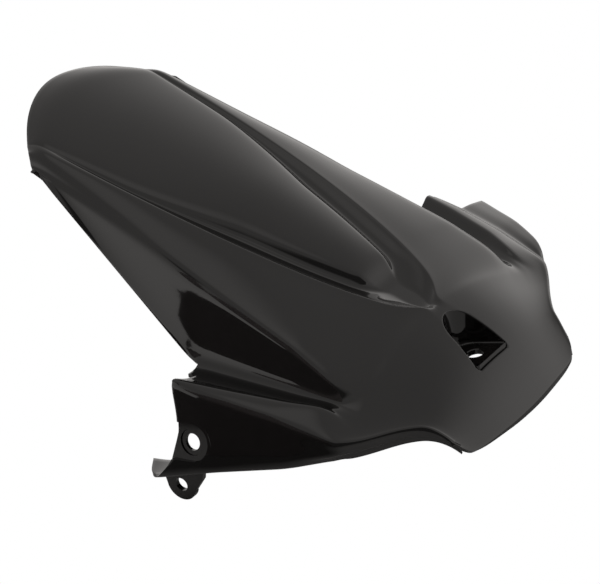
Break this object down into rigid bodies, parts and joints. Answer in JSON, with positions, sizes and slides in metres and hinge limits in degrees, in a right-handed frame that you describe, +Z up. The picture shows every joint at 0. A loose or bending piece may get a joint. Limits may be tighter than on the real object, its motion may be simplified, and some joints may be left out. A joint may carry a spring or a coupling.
{
  "type": "motorcycle rear fender",
  "caption": "Moulded rear wheel hugger: domed crown between two channels that meet at the front, flared skirts, a fin and bracket on each side, sunk bolt pocket.",
  "frame": {"origin": "middle of the crown bolt bore, on the seat at the floor of its pocket", "axes": "+X toward the front of the motorcycle, +Y to its left, +Z up along the crown bolt"},
  "size_m": [0.3668, 0.3523, 0.2371],
  "materials": {
    "gloss_black": "smooth high gloss black outside and inside"
  },
  "bodies": {
    "root": {"fender": "gloss_black"}
  },
  "joints": []
}
